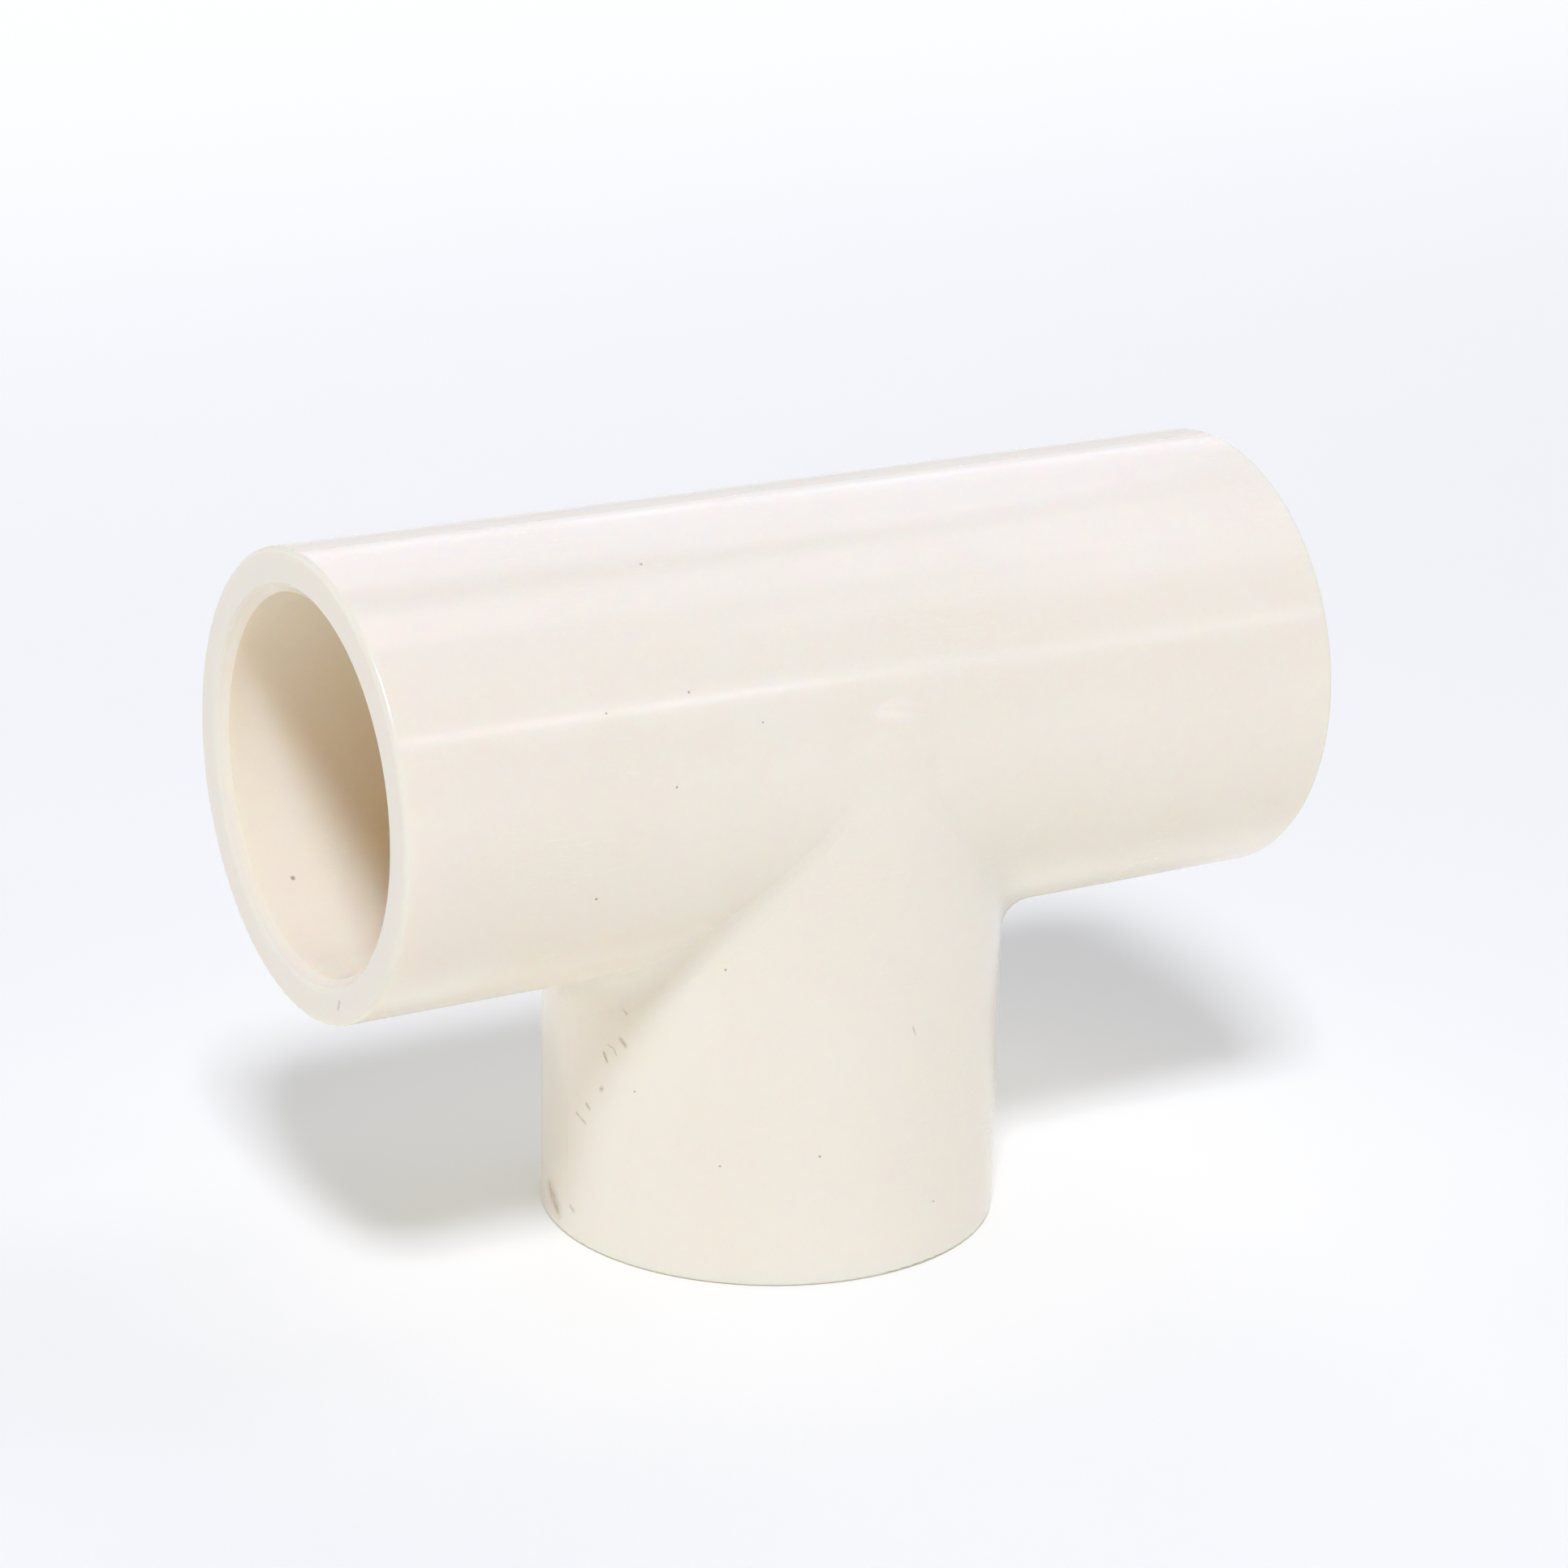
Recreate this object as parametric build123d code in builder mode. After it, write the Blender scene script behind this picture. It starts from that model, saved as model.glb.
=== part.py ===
from build123d import *
import os

# Equal solvent-weld tee for 3/4 in (20 mm) copper-tube-size CPVC pipe.
# The tee is one injection moulding: two plain barrels that cross at right
# angles, a pipe socket in each of the three ends, and a waterway that joins
# the sockets behind their stops.
#
# Frame: millimetres, +Z up.  The tee stands on its branch mouth.  The origin
# is the centre of the branch mouth plane, the branch axis is Z, and the run
# axis is parallel to X at the height centre_to_end.

# ---------------------------------------------------------------- dimensions
# barrels
run_outer_d = 27.6          # outside diameter of the run barrel
branch_outer_d = 28.04      # outside diameter of the branch barrel, slightly larger
centre_to_end = 31.4        # crossing of the axes to each mouth

# sockets: each takes a pipe of 22.225 mm outside diameter, cemented in
socket_d = 22.28            # mean inside diameter of the socket
socket_depth = 18.0         # mouth to socket stop
lead_in_d = 23.58           # diameter where the lead-in meets the end face

# waterway behind the socket stops, about the bore of the pipe itself
waterway_d = 18.6
stop_edge_break = 0.4       # chamfer where each stop meets the waterway

# branch head: the branch barrel runs on past the run axis and ends in a
# round shoulder that sinks into the upper half of the run barrel
head_rise = 6.75            # top of the head above the run axis
head_round = 5.5            # round between the head's side and its top

# edges
crook_round = 2.4           # fillet in the crook between run and branch
rim_round = 0.35            # outer edge of each end face

# ---------------------------------------------------------------- derived
run_r = run_outer_d / 2
branch_r = branch_outer_d / 2
socket_r = socket_d / 2
lead_in_r = lead_in_d / 2
lead_in = lead_in_r - socket_r             # 45 degree lead-in, radial and axial
waterway_r = waterway_d / 2
run_axis_z = centre_to_end
head_top_z = run_axis_z + head_rise

with BuildPart() as tee_body:
    # run barrel, mouth to mouth along X
    with BuildSketch(Plane.YZ.offset(-centre_to_end)):
        with Locations((0, run_axis_z)):
            Circle(run_r)
    extrude(amount=2 * centre_to_end)

    # branch barrel with its round-shouldered head, turned about Z
    with BuildSketch(Plane.XZ):
        with BuildLine():
            Polyline(
                (branch_r, head_top_z - head_round),
                (branch_r, 0),
                (0, 0),
                (0, head_top_z),
                (branch_r - head_round, head_top_z),
            )
            CenterArc(
                (branch_r - head_round, head_top_z - head_round),
                head_round,
                0,
                90,
            )
        make_face()
    revolve(axis=Axis.Z)

    # fillet along the whole line where the two barrels meet
    fillet(tee_body.edges().filter_by(GeomType.BSPLINE), crook_round)

    # outer rim of each end face
    fillet(tee_body.edges().filter_by(GeomType.CIRCLE).group_by(Axis.Z)[0], rim_round)
    fillet(tee_body.edges().filter_by(GeomType.CIRCLE).group_by(Axis.X)[0], rim_round)
    fillet(tee_body.edges().filter_by(GeomType.CIRCLE).group_by(Axis.X)[-1], rim_round)

    # half-section of one socket, stop and waterway, drawn from the mouth
    # (v = 0) inwards: u is the radius, v is the depth
    def socket_profile(depth_to_end):
        Polyline(
            (0, 0),
            (lead_in_r, 0),
            (socket_r, lead_in),
            (socket_r, socket_depth),
            (waterway_r + stop_edge_break, socket_depth),
            (waterway_r, socket_depth + stop_edge_break),
            (waterway_r, depth_to_end),
            (0, depth_to_end),
            (0, 0),
        )

    # branch socket and waterway, up to the run axis
    branch_plane = Plane(origin=(0, 0, 0), x_dir=(1, 0, 0), z_dir=(0, -1, 0))
    with BuildSketch(branch_plane):
        with BuildLine():
            socket_profile(centre_to_end)
        make_face()
    revolve(axis=Axis.Z, mode=Mode.SUBTRACT)

    # run sockets and waterway, left half and right half
    run_axis = Axis((0, 0, run_axis_z), (1, 0, 0))
    left_plane = Plane(
        origin=(-centre_to_end, 0, run_axis_z), x_dir=(0, 0, 1), z_dir=(0, 1, 0)
    )
    right_plane = Plane(
        origin=(centre_to_end, 0, run_axis_z), x_dir=(0, 0, 1), z_dir=(0, -1, 0)
    )
    for mouth_plane in (left_plane, right_plane):
        with BuildSketch(mouth_plane):
            with BuildLine():
                socket_profile(centre_to_end)
            make_face()
        revolve(axis=run_axis, mode=Mode.SUBTRACT)

tee_body.part.label = "tee_body"

os.makedirs("parts", exist_ok=True)
export_step(tee_body.part, "parts/tee_body.step")
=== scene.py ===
import math

import bpy
from mathutils import Matrix, Vector


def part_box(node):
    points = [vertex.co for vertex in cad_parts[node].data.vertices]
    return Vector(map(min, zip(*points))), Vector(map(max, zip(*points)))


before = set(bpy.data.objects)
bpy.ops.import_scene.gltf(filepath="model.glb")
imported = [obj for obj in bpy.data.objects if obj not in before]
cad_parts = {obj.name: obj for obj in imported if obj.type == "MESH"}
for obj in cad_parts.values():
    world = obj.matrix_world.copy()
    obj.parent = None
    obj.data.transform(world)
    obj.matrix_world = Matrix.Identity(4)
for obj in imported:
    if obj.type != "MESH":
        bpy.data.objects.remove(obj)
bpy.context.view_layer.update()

scene = bpy.context.scene
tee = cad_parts["tee_body"]
lo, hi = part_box("tee_body")

# ------------------------------------------------------------ tee proportions
HALF_RUN = hi.x                      # branch axis to each run mouth
BRANCH_R = hi.y                      # the branch barrel is the widest thing across Y
AXIS_Z = HALF_RUN                    # equal tee: the run axis is as high as the run is half long
RUN_R = hi.z - AXIS_Z
MM = 0.001


def col(obj):
    scene.collection.objects.link(obj)
    return obj


# ------------------------------------------------------------ node helpers
class Nodes:
    """Short names for the node kinds that the plastic uses. Vectors are in millimetres."""

    def __init__(self, material):
        material.use_nodes = True
        self.tree = material.node_tree
        self.bsdf = self.tree.nodes["Principled BSDF"]

    def new(self, kind, **props):
        n = self.tree.nodes.new(kind)
        for k, v in props.items():
            setattr(n, k, v)
        return n

    def put(self, value, socket):
        if isinstance(value, bpy.types.NodeSocket):
            self.tree.links.new(value, socket)
        elif value is not None:
            socket.default_value = value

    def math(self, op, a, b=None, c=None, clamp=False):
        n = self.new("ShaderNodeMath", operation=op, use_clamp=clamp)
        for i, v in enumerate((a, b, c)):
            self.put(v, n.inputs[i])
        return n.outputs[0]

    def vec(self, op, a, b=None, scale=None):
        n = self.new("ShaderNodeVectorMath", operation=op)
        self.put(a, n.inputs[0])
        self.put(b, n.inputs[1])
        if scale is not None:
            self.put(scale, n.inputs["Scale"])
        return n.outputs["Value" if op in ("LENGTH", "DISTANCE", "DOT_PRODUCT") else "Vector"]

    def ramp(self, value, from_min, from_max, to_min=0.0, to_max=1.0, smooth=True):
        n = self.new("ShaderNodeMapRange", interpolation_type="SMOOTHSTEP" if smooth else "LINEAR")
        n.clamp = True
        for k, v in (("Value", value), ("From Min", from_min), ("From Max", from_max), ("To Min", to_min), ("To Max", to_max)):
            self.put(v, n.inputs[k])
        return n.outputs["Result"]

    def noise(self, vector, scale, detail=2.0, rough=0.5, distortion=0.0):
        n = self.new("ShaderNodeTexNoise")
        n.noise_dimensions = "3D"
        self.put(vector, n.inputs["Vector"])
        n.inputs["Scale"].default_value = scale
        n.inputs["Detail"].default_value = detail
        n.inputs["Roughness"].default_value = rough
        n.inputs["Distortion"].default_value = distortion
        return n.outputs["Fac"]

    def blend(self, fac, a, b):
        n = self.new("ShaderNodeMix", data_type="RGBA")
        self.put(fac, n.inputs["Factor"])
        for v, s in ((a, n.inputs["A"]), (b, n.inputs["B"])):
            self.put(v if isinstance(v, bpy.types.NodeSocket) else None, s)
        color = [s for s in n.inputs if s.type == "RGBA"]
        for v, s in zip((a, b), color):
            self.put(v if isinstance(v, bpy.types.NodeSocket) else (*v, 1.0), s)
        return [s for s in n.outputs if s.type == "RGBA"][0]

    def mix(self, fac, a, b):
        n = self.new("ShaderNodeMix", data_type="FLOAT")
        floats = [s for s in n.inputs if s.type == "VALUE"]
        self.put(fac, floats[0])
        self.put(a, floats[1])
        self.put(b, floats[2])
        return [s for s in n.outputs if s.type == "VALUE"][0]

    def add(self, *values):
        out = values[0]
        for v in values[1:]:
            out = self.math("ADD", out, v)
        return out

    def biggest(self, *values):
        out = values[0]
        for v in values[1:]:
            out = self.math("MAXIMUM", out, v)
        return out

    def spot(self, p, centre, radius):
        """1 at a point of the surface, falling to 0 at the radius."""
        d = self.vec("DISTANCE", p, centre)
        return self.ramp(d, radius, radius * 0.45)

    def stroke(self, p, a, b, radius):
        """1 along the line from a to b, falling to 0 at the radius."""
        a, b = Vector(a), Vector(b)
        ab = b - a
        rel = self.vec("SUBTRACT", p, tuple(a))
        h = self.vec("DOT_PRODUCT", rel, tuple(ab / ab.length_squared))
        h = self.math("ADD", h, 0.0, clamp=True)
        near = self.vec("SCALE", tuple(ab), scale=h)
        d = self.vec("LENGTH", self.vec("SUBTRACT", rel, near))
        return self.ramp(d, radius, 0.0)


# ------------------------------------------------------------ material
# Small marks of this fitting, in millimetres in the frame: (centre, radius). The last four, on the back, are invented.
SPECKS = [
    ((-28.47, 7.45, 23.12), 0.20),
    ((-19.21, -13.00, 26.78), 0.13),
    ((-12.74, -6.15, 43.75), 0.13),
    ((-12.96, -12.21, 37.83), 0.11),
    ((-18.35, -12.42, 37.42), 0.10),
    ((-14.52, -13.72, 32.89), 0.10),
    ((0.30, -14.01, 35.23), 0.12),
    ((-9.29, -10.50, 19.97), 0.10),
    ((-4.32, -13.33, 8.30), 0.11),
    ((3.62, -13.54, 3.89), 0.10),
    ((-8.64, -13.12, 35.69), 0.09),
    ((-12.71, -5.92, 11.35), 0.10),
    ((-9.40, -10.39, 7.59), 0.10),
    ((9.80, 13.10, 27.10), 0.12),
    ((-21.50, 12.00, 38.10), 0.11),
    ((6.20, 12.60, 11.00), 0.12),
    ((13.60, 3.20, 7.40), 0.10),
]
# Brown strokes: (from, to, radius). Most run down the left of the branch along the edge of the shadow that the run
# casts there, and paint that edge darker (painted shadow); the others are handling scuffs.
SCUFFS_AND_SHADOW_EDGE = [
    ((-13.45, -3.95, 13.78), (-13.31, -4.42, 13.66), 0.09),
    ((-13.31, -4.42, 13.66), (-13.25, -4.62, 13.30), 0.09),
    ((-13.12, -4.90, 14.42), (-12.98, -5.28, 14.10), 0.26),
    ((-13.53, -3.62, 13.15), (-13.48, -3.88, 12.72), 0.20),
    ((-13.57, -3.50, 10.88), (-13.60, -3.38, 10.74), 0.24),
    ((-13.31, -4.41, 17.85), (-13.33, -4.33, 17.45), 0.14),
    ((-13.70, -2.90, 17.60), (-13.58, -3.30, 17.50), 0.26),
    ((-13.97, -1.05, 8.45), (-13.86, -2.00, 8.12), 0.15),
    ((-13.72, 2.70, 2.10), (-13.90, 1.50, 1.30), 0.95),
    ((-13.05, -5.10, 16.30), (-12.95, -5.35, 16.10), 0.13),
    ((-12.74, -5.85, 18.40), (-12.66, -6.02, 18.30), 0.14),
    ((-12.20, -6.85, 20.10), (-12.02, -7.15, 20.00), 0.15),
    ((-13.86, -2.05, 9.40), (-13.80, -2.35, 9.20), 0.20),
    ((-14.00, -0.40, 2.10), (-13.99, -0.75, 1.98), 0.26),
    ((1.55, -13.93, 15.62), (1.76, -13.91, 15.10), 0.12),
    ((-31.40, -5.05, 20.10), (-31.40, -4.85, 19.60), 0.20),
]


# Two tones of the resin, which drift into each other.
BASE_LIGHT = (0.888, 0.797, 0.625)
BASE_WARM = (0.872, 0.773, 0.590)


def plastic():
    m = bpy.data.materials.new("ivory_cpvc")
    g = Nodes(m)
    b = g.bsdf

    metres = g.new("ShaderNodeTexCoord").outputs["Object"]
    p = g.vec("SCALE", metres, scale=1.0 / MM)
    xyz = g.new("ShaderNodeSeparateXYZ")
    g.put(p, xyz.inputs[0])
    x, y, z = xyz.outputs
    zr = g.math("SUBTRACT", z, AXIS_Z / MM)
    off_run = g.math("SQRT", g.add(g.math("MULTIPLY", y, y), g.math("MULTIPLY", zr, zr)))
    on_branch = g.ramp(off_run, RUN_R / MM + 0.02, RUN_R / MM + 0.35)   # 0 on the run barrel, 1 on the branch barrel

    # long shallow waves and fine draw lines left by the mould, each lying along its own barrel
    lie = g.new("ShaderNodeMix", data_type="VECTOR")
    g.put(on_branch, lie.inputs["Factor"])
    vectors = [v for v in lie.inputs if v.type == "VECTOR"]
    g.put((0.018, 0.17, 0.17), vectors[0])
    g.put((0.17, 0.17, 0.02), vectors[1])
    lay = g.vec("MULTIPLY", p, [v for v in lie.outputs if v.type == "VECTOR"][0])
    waves = g.noise(lay, 1.0, 1.0, 0.45)
    draw = g.noise(lay, 7.0, 2.0, 0.6)
    cloud = g.noise(p, 0.085, 3.0, 0.5)
    grain = g.noise(p, 0.9, 3.0, 0.6)
    on_face = g.ramp(g.math("ABSOLUTE", x), HALF_RUN / MM - 0.42, HALF_RUN / MM - 0.06)

    # the two halves of the mould meet on the plane of the axes
    flat_y = g.math("ABSOLUTE", g.add(y, g.math("MULTIPLY", g.math("SUBTRACT", grain, 0.5), 0.08)))
    on_outside = g.ramp(off_run, RUN_R / MM - 0.5, RUN_R / MM - 0.2)
    seam = g.math("MULTIPLY", g.ramp(flat_y, 0.17, 0.02), on_outside)

    # specks of dust in the resin, and brown strokes: scuffs, and a painted shadow edge on the branch
    specks = g.biggest(*[g.spot(p, c, r) for c, r in SPECKS])
    cells = g.new("ShaderNodeTexVoronoi")
    g.put(p, cells.inputs["Vector"])
    cells.inputs["Scale"].default_value = 0.16
    rare = g.new("ShaderNodeSeparateColor")
    g.put(cells.outputs["Color"], rare.inputs[0])
    dust = g.ramp(cells.outputs["Distance"], 0.018, 0.008)
    dust = g.math("MULTIPLY", dust, g.ramp(rare.outputs[0], 0.80, 0.90))
    scuffs_and_shadow_edge = g.biggest(*[g.stroke(p, s, e, r) for s, e, r in SCUFFS_AND_SHADOW_EDGE])
    ragged = g.ramp(g.noise(p, 3.4, 2.0, 0.7), 0.30, 0.56, 0.35, 1.0)
    scuff_and_shadow_marks = g.math("MULTIPLY", scuffs_and_shadow_edge, ragged)

    # hair-fine rub marks, in patches
    rub = g.noise(g.vec("MULTIPLY", p, (0.35, 6.0, 6.0)), 1.0, 1.0, 0.5)
    rub = g.ramp(g.math("ABSOLUTE", g.math("SUBTRACT", rub, 0.5)), 0.020, 0.0)
    rub = g.math("MULTIPLY", rub, g.math("MULTIPLY", g.ramp(cloud, 0.52, 0.64), g.math("SUBTRACT", 1.0, on_face)))

    # colour; inside the sockets the colour is painted warmer and a little darker, and the end faces darker and greyer:
    # painted shade, not the resin's own tone
    bore_painted_shade = g.ramp(off_run, RUN_R / MM - 2.30, RUN_R / MM - 2.80)
    base = g.blend(g.ramp(cloud, 0.30, 0.70), BASE_LIGHT, BASE_WARM)
    base = g.blend(g.math("MULTIPLY", g.ramp(grain, 0.35, 0.70), 0.22), base, tuple(c * k for c, k in zip(BASE_WARM, (0.978, 0.975, 0.965))))
    lighter = g.math("MULTIPLY", g.ramp(draw, 0.55, 0.72), g.mix(on_face, 0.22, 0.0))
    base = g.blend(lighter, base, tuple(min(0.93, c * k) for c, k in zip(BASE_LIGHT, (1.015, 1.025, 1.045))))
    # painted shade: the bores are tinted warmer and darker, standing in for the brown shade and inter-reflected light
    # inside them
    base = g.blend(g.math("MULTIPLY", bore_painted_shade, 0.6), base, tuple(c * k for c, k in zip(BASE_WARM, (1.0, 0.99, 0.90))))
    # painted shade: the end faces of the run are painted a darker, greyer tone, standing in for the shade that falls on
    # them
    base = g.blend(g.math("MULTIPLY", on_face, 0.8), base, (0.805, 0.762, 0.600))
    base = g.blend(g.math("MULTIPLY", seam, 0.08), base, tuple(c * k for c, k in zip(BASE_WARM, (0.93, 0.90, 0.84))))
    # painted shadow: the brown strokes darken the edge of the run's shadow on the branch; a few are real scuffs
    base = g.blend(g.math("MULTIPLY", scuff_and_shadow_marks, 0.85), base, (0.42, 0.32, 0.20))
    base = g.blend(g.math("MULTIPLY", dust, 0.35), base, (0.42, 0.31, 0.18))
    base = g.blend(g.math("MULTIPLY", specks, 0.80), base, (0.20, 0.13, 0.07))
    g.put(base, b.inputs["Base Color"])

    # gloss: polished, a little duller in the streaks, the rub marks and the brown strokes of scuffs and shadow edge
    rough = g.ramp(cloud, 0.30, 0.72, 0.145, 0.205)
    rough = g.add(rough, g.math("MULTIPLY", g.ramp(draw, 0.45, 0.75), 0.028))
    rough = g.add(rough, g.math("MULTIPLY", rub, 0.16), g.math("MULTIPLY", scuff_and_shadow_marks, 0.35), g.math("MULTIPLY", seam, 0.08))
    rough = g.add(rough, g.math("MULTIPLY", on_face, 0.15))
    g.put(rough, b.inputs["Roughness"])

    # relief, in millimetres
    relief = g.add(
        g.math("MULTIPLY", waves, 0.019),
        g.math("MULTIPLY", draw, 0.0016),
        g.math("MULTIPLY", grain, 0.0022),
        g.math("MULTIPLY", seam, 0.009),
        g.math("MULTIPLY", scuffs_and_shadow_edge, g.math("MULTIPLY", grain, -0.030)),
    )
    bump = g.new("ShaderNodeBump")
    bump.inputs["Strength"].default_value = 1.0
    bump.inputs["Distance"].default_value = MM
    g.put(relief, bump.inputs["Height"])
    g.put(bump.outputs["Normal"], b.inputs["Normal"])

    b.inputs["IOR"].default_value = 1.52
    b.inputs["Subsurface Weight"].default_value = 1.0
    b.inputs["Subsurface Radius"].default_value = (1.9, 0.95, 0.33)
    b.inputs["Subsurface Scale"].default_value = 0.0009
    return m


tee.data.materials.clear()
tee.data.materials.append(plastic())

# ------------------------------------------------------------ floor
me = bpy.data.meshes.new("floor")
s = 4.0
z = -0.00004
me.from_pydata([(-s, -s, z), (s, -s, z), (s, s, z), (-s, s, z)], [], [(0, 1, 2, 3)])
floor = col(bpy.data.objects.new("floor", me))
fm = bpy.data.materials.new("pale_floor")
g = Nodes(fm)
where = g.new("ShaderNodeTexCoord").outputs["Object"]
g.put(g.blend(g.noise(where, 9.0, 4.0, 0.6), (0.905, 0.895, 0.785), (0.89, 0.88, 0.77)), g.bsdf.inputs["Base Color"])
g.put(g.ramp(g.noise(where, 60.0, 3.0, 0.6), 0.3, 0.7, 0.62, 0.72), g.bsdf.inputs["Roughness"])
g.bsdf.inputs["Specular IOR Level"].default_value = 0.2
# lit from within, more towards the back, like a photographer's light table
across = g.new("ShaderNodeSeparateXYZ")
g.put(where, across.inputs[0])
g.put(g.ramp(across.outputs[1], 0.03, 0.55, 0.19, 0.78), g.bsdf.inputs["Emission Strength"])
g.bsdf.inputs["Emission Color"].default_value = (0.99, 1.0, 1.02, 1)
# the underside of the sheet is clear, so that the part can be looked at from below
clear = g.new("ShaderNodeBsdfTransparent")
sheet = g.new("ShaderNodeMixShader")
g.put(g.new("ShaderNodeNewGeometry").outputs["Backfacing"], sheet.inputs[0])
g.put(g.bsdf.outputs[0], sheet.inputs[1])
g.put(clear.outputs[0], sheet.inputs[2])
g.put(sheet.outputs[0], g.tree.nodes["Material Output"].inputs["Surface"])
me.materials.append(fm)

# ------------------------------------------------------------ light
# A pale room: bright near the horizon, softer overhead.
w = bpy.data.worlds.new("studio")
w.use_nodes = True
wt = w.node_tree
sky = wt.nodes["Background"]
geo = wt.nodes.new("ShaderNodeTexCoord")
split = wt.nodes.new("ShaderNodeSeparateXYZ")
fade = wt.nodes.new("ShaderNodeMapRange")
fade.interpolation_type = "SMOOTHSTEP"
wt.links.new(geo.outputs["Generated"], split.inputs[0])
# a white card stands behind: there the bright band reaches higher, and whitens the top edge of the run
card = wt.nodes.new("ShaderNodeMapRange")
card.interpolation_type = "SMOOTHSTEP"
wt.links.new(split.outputs[1], card.inputs["Value"])
for k, v in (("From Min", 0.25), ("From Max", 0.80), ("To Min", 0.0), ("To Max", -0.30)):
    card.inputs[k].default_value = v
level = wt.nodes.new("ShaderNodeMath")
level.operation = "ADD"
wt.links.new(split.outputs[2], level.inputs[0])
wt.links.new(card.outputs["Result"], level.inputs[1])
wt.links.new(level.outputs[0], fade.inputs["Value"])
fade.inputs["From Min"].default_value = 0.08
fade.inputs["From Max"].default_value = 0.17
fade.inputs["To Min"].default_value = 1.2
fade.inputs["To Max"].default_value = 0.08
front = wt.nodes.new("ShaderNodeMapRange")
front.interpolation_type = "SMOOTHSTEP"
wt.links.new(split.outputs[1], front.inputs["Value"])
for k, v in (("From Min", -0.7), ("From Max", 0.2), ("To Min", 0.5), ("To Max", 1.0)):
    front.inputs[k].default_value = v
dim = wt.nodes.new("ShaderNodeMath")
dim.operation = "MULTIPLY"
wt.links.new(fade.outputs["Result"], dim.inputs[0])
wt.links.new(front.outputs["Result"], dim.inputs[1])
wt.links.new(dim.outputs[0], sky.inputs["Strength"])
sky.inputs["Color"].default_value = (1.0, 1.0, 1.02, 1)
scene.world = w


DAYLIGHT = (0.965, 1.0, 1.245)


def area(name, az, el, distance, width, height, radiance, target=(0, 0, AXIS_Z)):
    """A soft box. Azimuth 0 is straight in front, negative to the left; its radiance is even over its face."""
    a, e = math.radians(az), math.radians(el)
    d = Vector((math.sin(a) * math.cos(e), -math.cos(a) * math.cos(e), math.sin(e)))
    li = bpy.data.lights.new(name, "AREA")
    li.shape = "RECTANGLE"
    li.size = width
    li.size_y = height
    li.energy = math.pi * width * height * radiance
    li.color = DAYLIGHT
    o = col(bpy.data.objects.new(name, li))
    o.location = Vector(target) + d * distance
    o.rotation_euler = (-d).to_track_quat("-Z", "Y").to_euler()
    o.visible_camera = False
    return o


LIGHTS = {
    # name: (azimuth, elevation, distance, width, height, radiance)
    "key": (-30.3, 54.0, 1.6, 0.30, 0.30, 128.0),
    "right_top": (90, 64, 2.0, 0.72, 0.64, 3.0),
    "right": (72, 46, 2.0, 0.90, 0.64, 2.6),
    "right_back": (108, 46, 2.0, 0.90, 0.64, 2.0),
    "back": (144, 46, 2.0, 0.90, 0.64, 3.0),
    "back_low": (150, 28, 2.0, 0.95, 0.64, 2.8),
    "left_back_low": (-140, 12, 2.0, 1.06, 0.56, 4.0),
}
for name, spec in LIGHTS.items():
    area(name, *spec)

# a thin bright edge in two lengths, which draws the narrow highlight along the run: clear at the left, faint at the right
def edge(name, start, end, radiance):
    li = bpy.data.lights.new(name, "AREA")
    li.shape = "RECTANGLE"
    li.size = (end - start).length
    li.size_y = 0.012
    li.energy = math.pi * li.size * li.size_y * radiance
    li.color = DAYLIGHT
    o = col(bpy.data.objects.new(name, li))
    mid = (start + end) / 2
    ex = (end - start).normalized()
    ey = (mid - Vector((0, 0, AXIS_Z))).normalized().cross(ex).normalized()
    ez = ex.cross(ey)
    o.matrix_world = Matrix(
        (
            (ex.x, ey.x, ez.x, mid.x),
            (ex.y, ey.y, ez.y, mid.y),
            (ex.z, ey.z, ez.z, mid.z),
            (0, 0, 0, 1),
        )
    )
    o.visible_camera = False
    return o


A, B = Vector((0.38, -0.778, 0.540)), Vector((0.65, -0.724, 0.387))
edge("edge_left", A, A.lerp(B, 0.47), 54.0)
edge("edge_right", A.lerp(B, 0.62), B, 30.0)

# ------------------------------------------------------------ camera
cam_data = bpy.data.cameras.new("camera")
cam_data.sensor_width = 36.0
cam_data.lens = 104.83
cam_data.clip_start = 0.01
cam_data.clip_end = 20
cam = col(bpy.data.objects.new("camera", cam_data))
az, el, roll, dist = (math.radians(-30.987), math.radians(18.326), math.radians(1.1516), 20.0328 * RUN_R)
target = Vector((0.05189 * RUN_R, 0, AXIS_Z - 0.33931 * RUN_R))
back = Vector((math.sin(az) * math.cos(el), -math.cos(az) * math.cos(el), math.sin(el)))
side = Vector((0, 0, 1)).cross(back).normalized()
up = back.cross(side)
right = math.cos(roll) * side + math.sin(roll) * up
top = -math.sin(roll) * side + math.cos(roll) * up
place = target + back * dist
cam.matrix_world = Matrix(
    (
        (right.x, top.x, back.x, place.x),
        (right.y, top.y, back.y, place.y),
        (right.z, top.z, back.z, place.z),
        (0, 0, 0, 1),
    )
)
scene.camera = cam

# ------------------------------------------------------------ film
# A soft shoulder, s / (1 + s / 2), so that bright ivory stays ivory and white paper is white.
SHOULDER, WHITE = 0.5, 4.0
view = scene.view_settings
view.view_transform = "Standard"
view.look = "None"
view.exposure = 0.0
view.gamma = 1.0
view.use_curve_mapping = True
film = view.curve_mapping
film.use_clip = False
film.extend = "HORIZONTAL"
film.black_level = (0, 0, 0)
film.white_level = (WHITE, WHITE, WHITE)
line = film.curves[3]
steps = [0.0, 0.01, 0.03, 0.06, 0.1, 0.15, 0.2, 0.3, 0.4, 0.5, 0.65, 0.8, 1.0]
while len(line.points) < len(steps):
    line.points.new(0.5, 0.5)
for pt, t in zip(line.points, steps):
    v = t * WHITE
    pt.location = (t, min(1.0, v / (1 + SHOULDER * v)))
    pt.handle_type = "AUTO_CLAMPED"
film.update()
